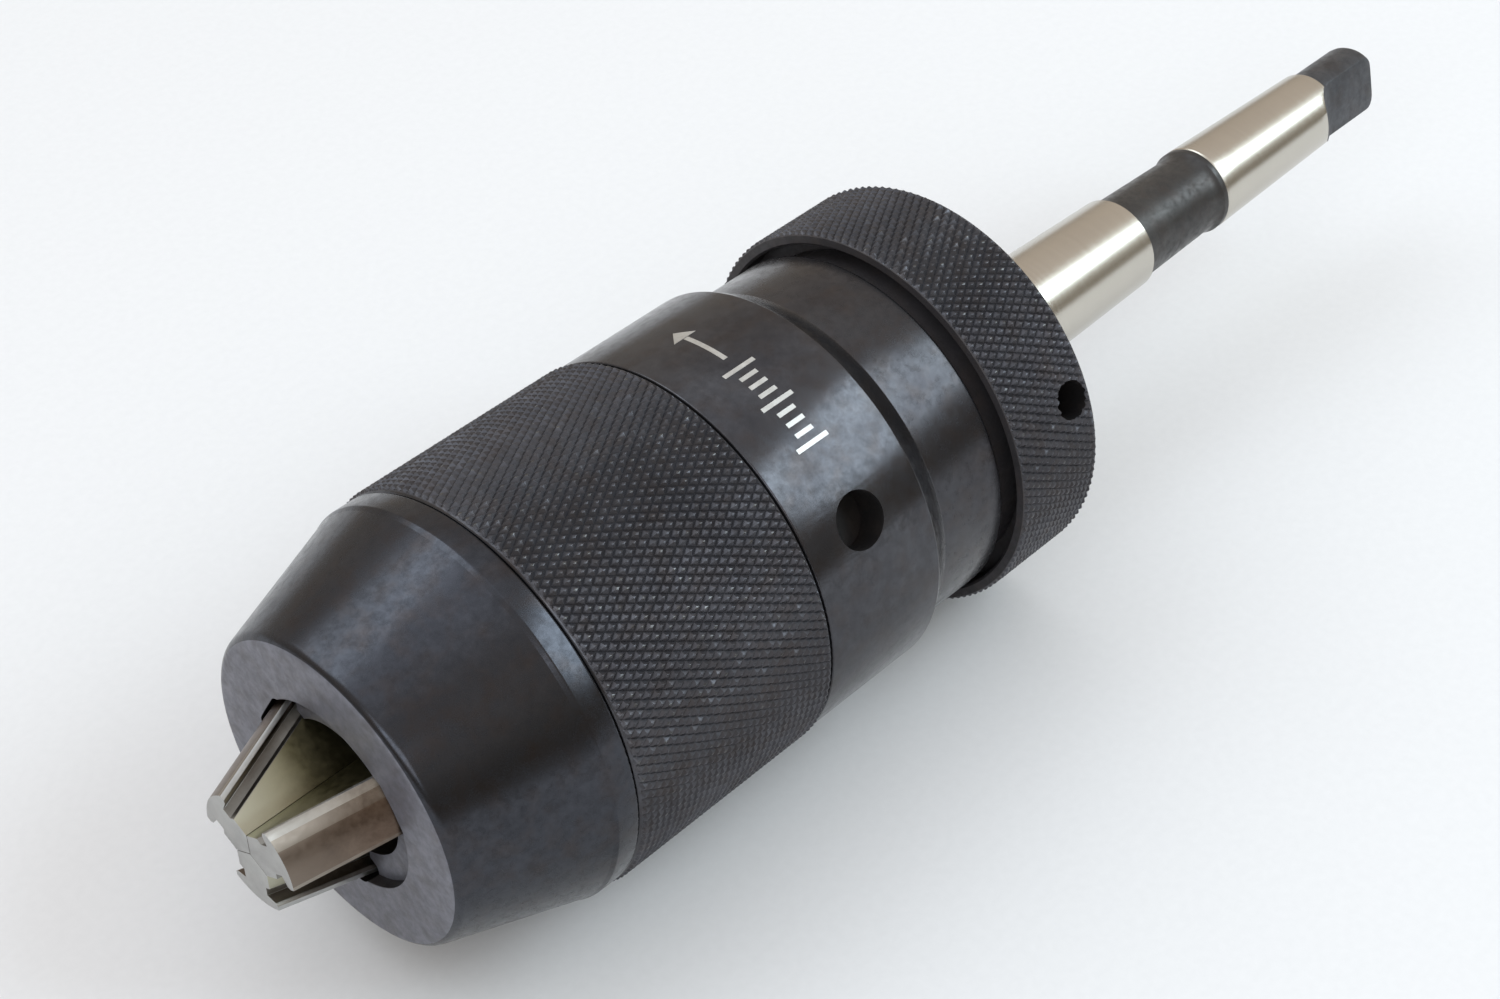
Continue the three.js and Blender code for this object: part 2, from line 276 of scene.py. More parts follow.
class Graph:
    """A node tree under construction."""

    def __init__(self, name):
        self.material = bpy.data.materials.new(name)
        self.material.use_nodes = True
        self.tree = self.material.node_tree
        self.tree.nodes.clear()
        self.shader = self.add("ShaderNodeBsdfPrincipled")
        out = self.add("ShaderNodeOutputMaterial")
        self.join(self.shader.outputs[0], out.inputs["Surface"])
        self.coord = self.add("ShaderNodeTexCoord").outputs["Object"]

    def add(self, kind, **settings):
        node = self.tree.nodes.new(kind)
        for key, value in settings.items():
            setattr(node, key, value)
        return node

    def join(self, a, b):
        self.tree.links.new(a, b)

    def scaled(self, scale):
        node = self.add("ShaderNodeMapping")
        node.inputs["Scale"].default_value = scale
        self.join(self.coord, node.inputs["Vector"])
        return node.outputs[0]

    def noise(self, scale=(1, 1, 1), size=1.0, detail=4.0, rough=0.55, distort=0.0):
        node = self.add("ShaderNodeTexNoise")
        node.inputs["Scale"].default_value = size
        node.inputs["Detail"].default_value = detail
        node.inputs["Roughness"].default_value = rough
        node.inputs["Distortion"].default_value = distort
        self.join(self.scaled(scale), node.inputs["Vector"])
        return node.outputs["Fac"]

    def ramp(self, fac, stops):
        node = self.add("ShaderNodeValToRGB")
        fill_ramp(node, stops)
        self.join(fac, node.inputs["Fac"])
        return node.outputs["Color"]

    def ranged(self, fac, low, high, a=0.3, b=0.7):
        node = self.add("ShaderNodeMapRange")
        for key, value in (("From Min", a), ("From Max", b), ("To Min", low), ("To Max", high)):
            node.inputs[key].default_value = value
        self.join(fac, node.inputs["Value"])
        return node.outputs[0]

    def mix(self, fac, a, b, blend="MIX"):
        node = self.add("ShaderNodeMix", data_type="RGBA", blend_type=blend)
        for key, value in (("Factor", fac), ("A", a), ("B", b)):
            socket = node.inputs[key]
            if hasattr(value, "is_linked"):
                self.join(value, socket)
            else:
                socket.default_value = value if isinstance(value, float) else (*value, 1)
        return node.outputs["Result"]

    def bump(self, height, strength, distance, below=None):
        node = self.add("ShaderNodeBump")
        node.inputs["Strength"].default_value = strength
        node.inputs["Distance"].default_value = distance * MM
        self.join(height, node.inputs["Height"])
        if below is not None:
            self.join(below, node.inputs["Normal"])
        return node.outputs[0]

    def set(self, **values):
        for key, value in values.items():
            socket = self.shader.inputs[key.replace("_", " ")]
            if hasattr(value, "is_linked"):
                self.join(value, socket)
            else:
                socket.default_value = value if isinstance(value, (int, float)) else (*value, 1)
        return self.material


OXIDE_TINT = (0.060, 0.046, 0.040)


def black_oxide(name, low, high, rough, metal=0.8, lines=0.25):
    """Blued steel, turned: cloudy colour, flecks, turning lines round the axis, a fine grain.
    low, high: colours of the clouds, with brownish patches of OXIDE_TINT between them.
    rough: roughness between the flecks and on them.
    """
    g = Graph(name)
    cloud = g.noise(size=95, detail=5, rough=0.6, distort=0.3)
    patch = g.noise(size=420, detail=3, rough=0.5)
    fleck = g.noise(size=950, detail=7, rough=0.68, distort=0.2)
    middle = tuple((a + b) / 2 for a, b in zip(low, high))
    base = g.ramp(cloud, [(0.3, low), (0.52, middle), (0.75, high)])
    base = g.mix(g.ranged(patch, 0.0, 0.45, 0.45, 0.75), base, OXIDE_TINT)
    dark_flecks = g.ramp(fleck, [(0.34, (0.72, 0.72, 0.72)), (0.66, (1, 1, 1))])
    colour = g.mix(1.0, base, dark_flecks, "MULTIPLY")
    roughness = g.ranged(fleck, rough[1], rough[0], 0.35, 0.62)
    turning = g.noise(scale=(9000, 14, 14), detail=2)
    grain = g.noise(size=5200, detail=2, rough=0.6)
    normal = g.bump(grain, 0.5, 0.004, g.bump(turning, lines, 0.006))
    return g.set(Base_Color=colour, Metallic=metal, Roughness=roughness, Normal=normal)


def ground(name, low, high, rough, lines, stain=0.5):
    """Cylindrically ground steel: fine rings round the axis, faint stains."""
    g = Graph(name)
    ring = g.noise(scale=(2600, 9, 9), rough=0.7)
    cloud = g.noise(scale=(120, 200, 200))
    colour = g.mix(g.ranged(cloud, 0.0, stain, 0.4, 0.8), g.ramp(ring, [(0.3, low), (0.7, high)]),
                   tuple(0.72 * v for v in low))
    roughness = g.ranged(ring, rough[0], rough[1])
    fine = g.noise(scale=(14000, 22, 22), detail=3, rough=0.6)
    normal = g.bump(fine, lines, 0.004)
    return g.set(Base_Color=colour, Metallic=1.0, Roughness=roughness, Normal=normal)


def satin(name, low, high, rough, grain=0.25, size=180, tip=None):
    """Heat-treated steel with a soft blotchy colour and no clear machining lines.
    tip: colour at the jaw's nose end, which fades into the rest along the jaw: a painted highlight,
    lightest at the tip.
    """
    g = Graph(name)
    cloud = g.noise(size=size, detail=5, rough=0.6, distort=0.5)
    fleck = g.noise(size=1500, rough=0.6)
    colour = g.ramp(g.mix(0.3, cloud, fleck), [(0.36, low), (0.64, high)])
    if tip:
        split = g.add("ShaderNodeSeparateXYZ")
        g.join(g.coord, split.inputs[0])
        # painted highlight, strongest at the jaw's tip
        tip_painted_sheen = g.ranged(split.outputs["X"], 1.0, 0.0, (TIP_X - 0.5) * MM, (FACE_X - 1.5) * MM)
        colour = g.mix(tip_painted_sheen, colour, tip)
    roughness = g.ranged(fleck, rough[0], rough[1])
    normal = g.bump(g.noise(size=5200, detail=2, rough=0.6), grain, 0.004)
    return g.set(Base_Color=colour, Metallic=1.0, Roughness=roughness, Normal=normal)


blued = black_oxide("blued_turned", (0.046, 0.045, 0.051), (0.092, 0.094, 0.104), (0.15, 0.27))
blued_rear = black_oxide("blued_rear", (0.045, 0.043, 0.049), (0.083, 0.085, 0.093), (0.19, 0.30))
blued_hood = black_oxide("blued_hood", (0.046, 0.048, 0.056), (0.062, 0.065, 0.076),
                         (0.20, 0.31), metal=0.94, lines=0.12)
# front face of the hood: a lighter machined face, partly a painted reflection of the pale floor
blued_face_and_painted_reflection = black_oxide("blued_face_and_painted_reflection", (0.148, 0.150, 0.178), (0.185, 0.188, 0.221),
                         (0.36, 0.48), metal=0.35, lines=0.4)
knurl_side = black_oxide("blued_knurl", (0.056, 0.056, 0.065), (0.090, 0.090, 0.102),
                         (0.34, 0.48), metal=0.7, lines=0.1)
# bright crests: worn metal and partly a painted glint
knurl_crest = black_oxide("blued_knurl_crest", (0.075, 0.075, 0.08), (0.14, 0.14, 0.14),
                          (0.26, 0.40), metal=0.9, lines=0.1)
# dark painted shade for the gap between the ring and the shell, the wall of the hood's face recess
# and the thrust washer
shade = black_oxide("blued_painted_shade_gap", (0.036, 0.033, 0.036), (0.060, 0.055, 0.060),
                    (0.5, 0.65), metal=0.2, lines=0.1)
# near-black painted shade for holes, bores and slots inside the parts
painted_shade_hollow = black_oxide("blued_painted_shade_hollow", (0.012, 0.011, 0.012), (0.026, 0.024, 0.024),
                     (0.45, 0.6), metal=0.4)
taper_steel = ground("ground_taper", (0.545, 0.515, 0.455), (0.585, 0.555, 0.495),
                     (0.22, 0.27), lines=0.12, stain=0.15)
bearing_steel = ground("bearing_steel", (0.62, 0.63, 0.65), (0.74, 0.75, 0.77), (0.1, 0.2), 0.2)
bronze = ground("bronze", (0.42, 0.27, 0.12), (0.55, 0.37, 0.17), (0.28, 0.42), 0.4)
jaw_face = satin("jaw_ground_face", (0.38, 0.38, 0.37), (0.47, 0.47, 0.455), (0.34, 0.46), 0.4, 400)
jaw_back = satin("jaw_back", (0.062, 0.040, 0.030), (0.155, 0.112, 0.085), (0.30, 0.42),
                 size=200, tip=(0.20, 0.165, 0.135))
# lighter strips of the jaw's outer arc: painted reflection, lightest along one edge
jaw_mid_painted_sheen = satin("jaw_mid_painted_sheen", (0.11, 0.084, 0.066), (0.23, 0.190, 0.155), (0.32, 0.44),
                size=220, tip=(0.30, 0.27, 0.23))
jaw_edge_painted_sheen = satin("jaw_edge_painted_sheen", (0.18, 0.155, 0.13), (0.34, 0.31, 0.27), (0.36, 0.48),
                 grain=0.3, size=260, tip=(0.42, 0.41, 0.38))
jaw_web = satin("jaw_web", (0.165, 0.145, 0.080), (0.245, 0.220, 0.125), (0.30, 0.42),
                size=120, tip=(0.42, 0.405, 0.32))
jaw_groove = satin("jaw_groove", (0.15, 0.14, 0.125), (0.25, 0.24, 0.22), (0.4, 0.5))
etched = satin("etched_mark", (0.52, 0.52, 0.50), (0.64, 0.64, 0.62), (0.42, 0.54), 0.3, 700)
screw_steel = ground("screw_steel", (0.30, 0.29, 0.27), (0.40, 0.39, 0.365), (0.25, 0.4), 0.4)
black_neck = black_oxide("blued_neck", (0.034, 0.033, 0.034), (0.08, 0.077, 0.074), (0.3, 0.5), 0.6)
black_tang = black_oxide("blued_tang", (0.060, 0.063, 0.070), (0.105, 0.108, 0.118),
                         (0.36, 0.5), metal=0.6)


# ---------------------------------------------------------------- knurled pieces
SIDE_SLOT, CREST_SLOT, PLAIN_SLOT = 0, 1, 2


def knurled(name, radius, ends, periods, profile):
    """Tube whose outside is a diamond knurl of truncated pyramids, cut off by end chamfers.
    ends: ((x, chamfer) at the nose side, the same at the tang side).
    periods: diamonds along the piece.
    profile: (x, r) points of the rest of the section, nose side to tang side, through the bore.
    """
    (xa, chamfer_a), (xb, chamfer_b) = ends
    around, depth = KNURL_AROUND, KNURL_DEPTH
    cut_a, cut_b = xa + chamfer_a - depth, xb - chamfer_b + depth
    step = (cut_b - cut_a) / periods / 2
    start = cut_a - 1.5 * step
    rows = 2 * periods + 5
    angle = math.pi / around
    low = radius - depth

    def point(x, turn, r):
        t = turn * angle
        return (x, -r * math.sin(t), r * math.cos(t))

    verts, faces, corner = [], [], {}

    def base(i, j):
        key = (i, j % (2 * around))
        if key not in corner:
            corner[key] = len(verts)
            verts.append(point(start + i * step, key[1], low))
        return corner[key]

    # each pyramid: a small flat top, a rounded shoulder, then straight sides to the grooves
    crest = []
    corners = ((-1, 0), (0, 1), (1, 0), (0, -1))
    for i in range(rows):
        for j in range(i % 2, 2 * around, 2):
            x = start + i * step
            f = KNURL_FLAT * rng.uniform(0.6, 1.2)
            shoulder = f + 0.2
            drop = depth * (shoulder - f) / (1 - f) * 0.5
            tilt = rng.normal(0, 0.006, 2)
            top, mid = [], []
            for di, dj in corners:
                top.append(len(verts))
                lift = radius + di * tilt[0] + dj * tilt[1] - 0.008 * abs(rng.normal())
                verts.append(point(x + di * f * step, j + dj * f, lift))
            for di, dj in corners:
                mid.append(len(verts))
                verts.append(point(x + di * shoulder * step, j + dj * shoulder, radius - drop))
            low_ring = [base(i - 1, j), base(i, j + 1), base(i + 1, j), base(i, j - 1)]
            bright = rng.random() < WORN_AND_PAINTED_GLINT_SHARE
            crest += [(len(faces) + k, bright) for k in range(5)]
            faces.append(top)
            for a, b in ((mid, top), (low_ring, mid)):
                for k in range(4):
                    faces.append([a[k], a[(k + 1) % 4], b[(k + 1) % 4], b[k]])
    mesh = bpy.data.meshes.new(name)
    mesh.from_pydata([Vector(v) * MM for v in verts], [], faces)
    for index, bright in crest:
        mesh.polygons[index].material_index = CREST_SLOT if bright else SIDE_SLOT

    bm = bmesh.new()
    bm.from_mesh(mesh)

    def slice_at(x, **clear):
        everything = bm.verts[:] + bm.edges[:] + bm.faces[:]
        bmesh.ops.bisect_plane(bm, geom=everything, dist=1e-8, plane_co=(x * MM, 0, 0),
                               plane_no=(1, 0, 0), **clear)

    for k in range(1, 5):
        slice_at(cut_a + depth * k / 4)
        slice_at(cut_b - depth * k / 4)
    slice_at(cut_a, clear_inner=True)
    slice_at(cut_b, clear_outer=True)
    for v in bm.verts:
        x, r = v.co.x / MM, math.hypot(v.co.y, v.co.z) / MM
        most = radius - max(0.0, chamfer_a - (x - xa), chamfer_b - (xb - x))
        if r > most:
            v.co.y *= most / r
            v.co.z *= most / r
    bm.verts.ensure_lookup_table()
    first = {v for v in bm.verts if abs(v.co.x / MM - cut_a) < 1e-4}
    last = {v for v in bm.verts if abs(v.co.x / MM - cut_b) < 1e-4}

    def roll_of(v):
        return math.atan2(-v.co.y, v.co.z)

    head, tail = sorted(first, key=roll_of), sorted(last, key=roll_of)
    if len(head) != len(tail):
        raise RuntimeError(f"{name}: {len(head)} and {len(tail)} end points")
    loops = [head]
    for x, r in profile:
        ring = []
        for v in head:
            t = roll_of(v)
            ring.append(bm.verts.new((x * MM, -r * math.sin(t) * MM, r * math.cos(t) * MM)))
        loops.append(ring)
    loops.append(tail)
    n = len(head)
    for a, b in zip(loops, loops[1:]):
        for k in range(n):
            face = bm.faces.new((a[k], a[(k + 1) % n], b[(k + 1) % n], b[k]))
            face.material_index = PLAIN_SLOT
    bmesh.ops.remove_doubles(bm, verts=bm.verts, dist=1e-7)
    bm.to_mesh(mesh)
    bm.free()
    return finish_mesh(link(name, mesh), 24.0)


grip = knurled(
    "knurled_grip", GRIP_R, ((GRIP_X0, 0.5), (GRIP_X1, 0.5)), 15,
    [(GRIP_X0 + 0.06, GRIP_R - 0.44), (GRIP_X0, GRIP_R - 0.52), (GRIP_X0, GRIP_BORE_R),
     (GRIP_X1, GRIP_BORE_R), (GRIP_X1, GRIP_R - 0.52), (GRIP_X1 - 0.06, GRIP_R - 0.44)])
paint(grip, [knurl_side, knurl_crest, blued])
place(grip, "sleeve", "black_steel", "grip_sleeve")

ring = knurled(
    "knurled_ring", RING_R, ((RING_X0, 0.36), (RING_X1, 0.35)), 7,
    [(RING_X0, RING_R - 0.36), (RING_X0, RING_LIP_R + 0.25), (RING_X0 + 0.25, RING_LIP_R),
     (RING_POCKET_X, RING_LIP_R), (RING_POCKET_X, RING_HUB_R), (RING_X0, RING_HUB_R),
     (RING_X0, RING_BORE_R), (RING_X1, RING_BORE_R), (RING_X1, RING_R - 0.345)])
RING_MATERIALS = [knurl_side, knurl_crest, blued, painted_shade_hollow, shade]
paint(ring, RING_MATERIALS)
drill = radial_drill(RING_HOLE)
# the cutter gives the pin-spanner hole's wall the near-black painted shade
paint(drill, [painted_shade_hollow])
boolean(ring, drill, "DIFFERENCE")
# the ring's front end and front pocket, in the gap beside the shell: painted shade
for face in ring.data.polygons:
    x = face.center.x / MM
    if x < RING_X0 + 0.1 or face.material_index == PLAIN_SLOT and x < RING_POCKET_X + 0.1:
        face.material_index = RING_MATERIALS.index(shade)
finish_mesh(ring, 24.0)
place(ring, "arbor_and_body", "black_steel", "rear_ring")


# ---------------------------------------------------------------- hood
def slot_outline():
    """T-slot section; heights are measured across the slanted jaw from its tip line."""
    c = math.cos(SLANT)
    web = WEB_HALF + 0.2
    low, high = 4.1 * c, (JAW_OUT + 0.4) * c
    end = (high - low) / 2
    ends = []
    for i in range(13):
        a = -math.pi / 2 + math.pi * i / 12
        ends.append((SLOT_HALF - end + end * math.cos(a), (low + high) / 2 + end * math.sin(a)))
    other = [(-a, h) for a, h in ends][::-1]
    return [(-web, -6), (web, -6), (web, low), *ends, *other, (-web, low)]


SLIDE = (math.cos(SLANT), 0, math.sin(SLANT))
LIFT = (-math.sin(SLANT), 0, math.cos(SLANT))
SLOT_START = Vector((TIP_X, 0, 0)) - Vector(SLIDE) * 16
SLOT_LENGTH = 60

hood = lathe("hood", fillet([
    (RECESS_X, BORE_R), (RECESS_X, RECESS_R), (FACE_X, RECESS_R, 0.12), (FACE_X, FACE_R, 1.2),
    (CONE_X, CONE_R, 0.5), (CONE_X + 0.5, HOOD_R, 0.4), (GRIP_X0 - 0.1, HOOD_R, 0.35),
    (GRIP_X0 - 0.1, SKIRT_R), (SKIRT_X, SKIRT_R), (SKIRT_X, COUNTERBORE_R),
    (COUNTERBORE_X, COUNTERBORE_R), (COUNTERBORE_X, HEAD_R + 0.3),
    (HEAD_ROOM_X, HEAD_R + 0.3), (HEAD_ROOM_X, BORE_R)], 6), FINE_STEPS)
for angle in JAW_ROLLS:
    slot = prism("slot", slot_outline(), SLOT_START, SLIDE, LIFT, SLOT_LENGTH)
    boolean(hood, roll(slot, angle), "DIFFERENCE")
finish_mesh(hood)


def hood_material(c, n):
    r = math.hypot(c.y, c.z)
    # inside the bore and the jaw slots: near-black painted shade
    if c.x > RECESS_X + 0.1 and r < FACE_R - 2.5:
        return painted_shade_hollow
    # the wall of the face recess: painted shade
    if abs(r - RECESS_R) < 0.05 and abs(n.x) < 0.5:
        return shade
    # front face and recess floor: lighter, partly a painted reflection of the pale floor
    return blued_face_and_painted_reflection if c.x < RECESS_X + 0.1 and r < FACE_R - 0.4 else blued_hood


paint(hood, [blued_hood, painted_shade_hollow, blued_face_and_painted_reflection, shade], hood_material)
place(hood, "sleeve", "black_steel", "nose_hood")

# ---------------------------------------------------------------- rear shell
shell = lathe("shell", fillet([
    (SHELL_X0, SHELL_LIP_R), (SHELL_X0, SKIRT_R, 0.3), (GRIP_X1 + 0.1, SKIRT_R),
    (GRIP_X1 + 0.1, BAND_R, 0.18), (BAND_X1, BAND_R, 0.25), (NECK_X, NECK_R, 0.3),
    (SHELL_X1, NECK_R, 0.45), (SHELL_X1, SHELL_BORE_R), (SHELL_SEAT_X, SHELL_BORE_R),
    (SHELL_SEAT_X, SHELL_LIP_R)], 5), FINE_STEPS)
boolean(shell, radial_drill(SLEEVE_HOLE), "DIFFERENCE")
finish_mesh(shell)


def shell_material(c, n):
    hole_x, angle, radius, _ = SLEEVE_HOLE
    t = math.radians(angle)
    outward = Vector((0, -math.sin(t), math.cos(t)))
    flat = c - outward * c.dot(outward)
    near = (flat - Vector((hole_x, 0, 0))).length < radius + 0.02
    deep = math.hypot(c.y, c.z) < BAND_R - 0.05 and c.x < BAND_X1
    # the pin-spanner hole's wall: near-black painted shade
    if near and deep and c.dot(outward) > 0:
        return painted_shade_hollow
    return blued_rear if c.x > NECK_X else blued


paint(shell, [blued, painted_shade_hollow, blued_rear], shell_material)
place(shell, "sleeve", "black_steel", "rear_shell")


# ---------------------------------------------------------------- marks on the band
def etched_strokes():
    """A plain etched arrow round the sleeve, then a row of graduation strokes."""
    verts, faces = [], []

    def stroke(turn_0, turn_1, low_0, high_0, low_1, high_1, parts):
        """Patch between two rolls in degrees, with its own x range at each end."""
        first = len(verts)
        for k in range(parts + 1):
            t = k / parts
            a = math.radians(turn_0 + (turn_1 - turn_0) * t)
            low, high = low_0 + (low_1 - low_0) * t, high_0 + (high_1 - high_0) * t
            for r in (BAND_R - 0.04, BAND_R + 0.012):
                for x in (low, high):
                    verts.append((x, -r * math.sin(a), r * math.cos(a)))
        for k in range(parts):
            a, b = first + 4 * k, first + 4 * k + 4
            for p, q in ((0, 1), (1, 3), (3, 2), (2, 0)):
                faces.append((a + p, a + q, b + q, b + p))
        faces.append((first, first + 2, first + 3, first + 1))
        end = first + 4 * parts
        faces.append((end, end + 1, end + 3, end + 2))

    def even_stroke(turn_0, turn_1, half, parts):
        ends = (MARK_X - half, MARK_X + half)
        stroke(turn_0, turn_1, *ends, *ends, parts)

    stroke(-17, -12.5, MARK_X - 0.02, MARK_X + 0.02, MARK_X - 1.5, MARK_X + 1.5, 4)
    even_stroke(-12.3, 2, 0.3, 12)
    for k in range(9):
        turn = 6 + 3.4 * k
        even_stroke(turn, turn + 1.3, 2.1 if k % 4 == 0 else 1.15, 2)
    return finish_mesh(mesh_object("etched_scale", verts, faces))


marks = etched_strokes()
paint(marks, [etched])
place(marks, "sleeve", "ground_steel")


# ---------------------------------------------------------------- arbor
def morse(x):
    return GAUGE_R - MORSE * x


# the flared rim at the end of the black neck: x, and how far it lies under the taper
RIM = ((25.2, 0.47), (26.0, 0.42), (26.6, 0.31), (27.0, 0.17), (27.2, 0.06), (27.3, 0.03))
# extra rings keep the long taper's shading straight beside the milled tang
SHADING_RINGS = (31, 35, 39, 43, 46, 48, 49.5)

arbor = lathe("arbor_shank", fillet([
    (SHORT_X0, 0), (SHORT_X0, SHORT_SMALL_R, 0.4), (SHORT_X1, SHORT_LARGE_R, 0.25),
    (SHORT_X1 + 1.8, morse(SHORT_X1 + 1.8), 0.4),
    (RELIEF_X0, morse(RELIEF_X0), 0.12), (RELIEF_X1, morse(RELIEF_X1) - RELIEF_DEPTH, 0.2),
    *((x, morse(x) - under) for x, under in RIM),
    (28.0, morse(28.0) - 0.03, 0.04), (28.08, morse(28.08) - 0.2, 0.04),
    (COLLAR_X1, morse(COLLAR_X1), 0.04),
    *((x, morse(x)) for x in SHADING_RINGS),
    (GROUND_END, morse(GROUND_END), 0.25), (GROUND_END + 0.6, TANG_R, 0.3),
    (TANG_END, TANG_R, 1.3), (TANG_END, 0)], 5), SHANK_STEPS)


def tang_cutter():
    """Removes one flat of the tang, with the round run-out of the milling cutter."""
    side = [(TANG_END + 1, TANG_HALF), (TANG_END + 1, 9)]
    rise = math.sqrt(TANG_ROOT_R ** 2 - (TANG_ROOT_R - 3.4) ** 2)
    side.append((TANG_FLAT - rise, 9))
    reach = math.asin(rise / TANG_ROOT_R)
    for i in range(16, -1, -1):
        a = reach * i / 16
        side.append((TANG_FLAT - TANG_ROOT_R * math.sin(a),
                     TANG_HALF + TANG_ROOT_R * (1 - math.cos(a))))
    return prism("cutter", [(h, x) for x, h in side], (0, -8, 0), (0, 1, 0), (1, 0, 0), 16)


for turn in (0, 180):
    boolean(arbor, roll(tang_cutter(), turn + TANG_ROLL), "DIFFERENCE")
bevel(arbor, 0.1, 40)
finish_mesh(arbor)


def arbor_material(c, n):
    milled = math.hypot(c.y, c.z) < morse(c.x) - 0.25 and c.x > GROUND_END - 4
    if c.x > GROUND_END + 0.12 or milled:
        return black_tang
    return black_neck if RELIEF_X0 - 0.05 < c.x < COLLAR_X1 - 0.2 else taper_steel


paint(arbor, [taper_steel, black_neck, black_tang], arbor_material)
place(arbor, "arbor_and_body", "ground_steel", "arbor")


# ---------------------------------------------------------------- jaws
def jaw_outline():
    """Jaw section: web, side grooves and a rounded outer flange."""
    c = math.cos(SLANT)
    under, web_top = c * FLANGE_UNDER, c * WEB_TOP
    arc = []
    for i in range(-8, 9):
        a = FLANGE_HALF * i / 8
        arc.append((-a, c * math.sqrt(JAW_OUT ** 2 - a * a)))
    right = [(WEB_HALF, -14), (WEB_HALF, web_top), (NECK_HALF, web_top + 0.3 * c),
             (NECK_HALF, under), (FLANGE_HALF - 0.3, under + 0.1 * c),
             (FLANGE_HALF, under + 0.4 * c)]
    left = [(-a, h) for a, h in right][::-1]
    return [left[-1], *right, *arc, *left[:-1]]


def radial_box(x0, x1, r0, r1, half):
    return prism("box", [(-half, r0), (half, r0), (half, r1), (-half, r1)],
                 (x0, 0, 0), (1, 0, 0), (0, 0, 1), x1 - x0)


def jaw_material(c, n):
    """Ground end and sides; the outer arc is darker in the middle than at its edges, a painted
    reflection that is lightest along one edge.
    """
    if n.x < -0.9 and c.x < TIP_X + 0.2:
        return jaw_face
    lift = (c - Vector((TIP_X, 0, 0))).dot(Vector(LIFT)) / math.cos(SLANT)
    if lift > FLANGE_UNDER - 0.05:
        if abs(n.y) > 0.7:
            return jaw_face
        # across the outer arc: painted reflection, lightest along one edge
        if c.y > 2.3:
            return jaw_edge_painted_sheen
        return jaw_mid_painted_sheen if c.y > 1.2 or c.y < -2.7 else jaw_back
    grooved = abs(c.y) < NECK_HALF + 0.1 or lift > WEB_TOP - 0.1
    return jaw_groove if grooved and c.x < FACE_X + 12 else jaw_web


def make_jaw(name):
    """Slanted bar cut to its third of the nose, with a web and a foot for the screw head."""
    bar = prism(name, jaw_outline(), SLOT_START, SLIDE, LIFT, SLOT_LENGTH)
    reach = 16
    flare = reach * math.tan(math.radians(60))
    wedge = prism("wedge", [(0, JAW_GAP), (flare, reach), (-flare, reach)],
                  (TIP_X, 0, 0), (1, 0, 0), (0, 0, 1), JAW_SEAT_X - TIP_X)
    boolean(bar, wedge, "INTERSECT")
    trim = [(TIP_X - 1, 0), (TIP_X - 1, JAW_TRIM_R), (-80, JAW_TRIM_R), (-80, 0)]
    boolean(bar, lathe("trim", trim, SHANK_STEPS), "INTERSECT")
    for box in ((JAW_SEAT_X - 1, FOOT_X0 + 0.2, FOOT_R0, FOOT_R1, WEB_HALF - 0.1),
                (FOOT_X0, FOOT_X1, FOOT_R0, FOOT_R1, FOOT_HALF)):
        boolean(bar, radial_box(*box), "UNION")
    bevel(bar, 0.07, 35)
    return finish_mesh(bar)


for i, angle in enumerate(JAW_ROLLS):
    jaw = make_jaw(f"clamping_jaw_{i + 1}")
    paint(jaw, [jaw_face, jaw_back, jaw_web, jaw_groove, jaw_edge_painted_sheen, jaw_mid_painted_sheen], jaw_material)
    roll(jaw, angle)
    place(jaw, f"jaw_{i + 1}", "jaw_steel", f"jaw_{i + 1}")


# ---------------------------------------------------------------- drive screw
def make_screw():
    """Left-hand screw with fading thread ends and a head with three T-slots."""
    segments, step = SCREW_STEPS, SCREW_PITCH / 12
    rows = [(HEAD_X0, 0, 0), (HEAD_X0, HEAD_R - 0.4, 0), (HEAD_X0 + 0.4, HEAD_R, 0),
            (HEAD_X1 - 0.4, HEAD_R, 0), (HEAD_X1, HEAD_R - 0.4, 0), (HEAD_X1, SCREW_R - 0.6, 0)]
    count = int((SCREW_X1 - 0.8 - HEAD_X1) / step)
    for k in range(1, count + 1):
        fade = min(1.0, k / 4, (count - k) / 8)
        rows.append((HEAD_X1 + k * step, SCREW_R - 0.6 * (1 - fade), 1.3 * fade))
    rows += [(SCREW_X1, SCREW_R - 1.4, 0), (SCREW_X1, 0, 0)]
    verts, index = [], []
    for x, r, depth in rows:
        if r == 0:
            index.append([len(verts)] * segments)
            verts.append((x, 0, 0))
            continue
        index.append(list(range(len(verts), len(verts) + segments)))
        for k in range(segments):
            t = TURN * k / segments
            phase = (x / SCREW_PITCH + k / segments) % 1.0
            cut = depth * np.clip(1.6 - 4.2 * abs(phase - 0.5), 0, 1)
            verts.append((x, -(r - cut) * math.sin(t), (r - cut) * math.cos(t)))
    faces = []
    for low, high in zip(index, index[1:]):
        for k in range(segments):
            j = (k + 1) % segments
            face = [low[k], high[k], high[j], low[j]]
            face = [v for i, v in enumerate(face) if v not in face[:i]]
            faces.append(face)
    screw = mesh_object("feed_screw", verts, faces)
    for angle in JAW_ROLLS:
        for box in ((HEAD_X0 - 1, FOOT_X0 + 0.1, 0, HEAD_R + 1.5, WEB_HALF + 0.15),
                    (FOOT_X0 - 0.15, FOOT_X1 + 0.25, 0, HEAD_R + 1.5, FOOT_HALF + 0.25)):
            boolean(screw, roll(radial_box(*box), angle), "DIFFERENCE")
    return finish_mesh(screw)


screw = make_screw()
paint(screw, [screw_steel])
place(screw, "drive_screw", "ground_steel", "drive_screw")

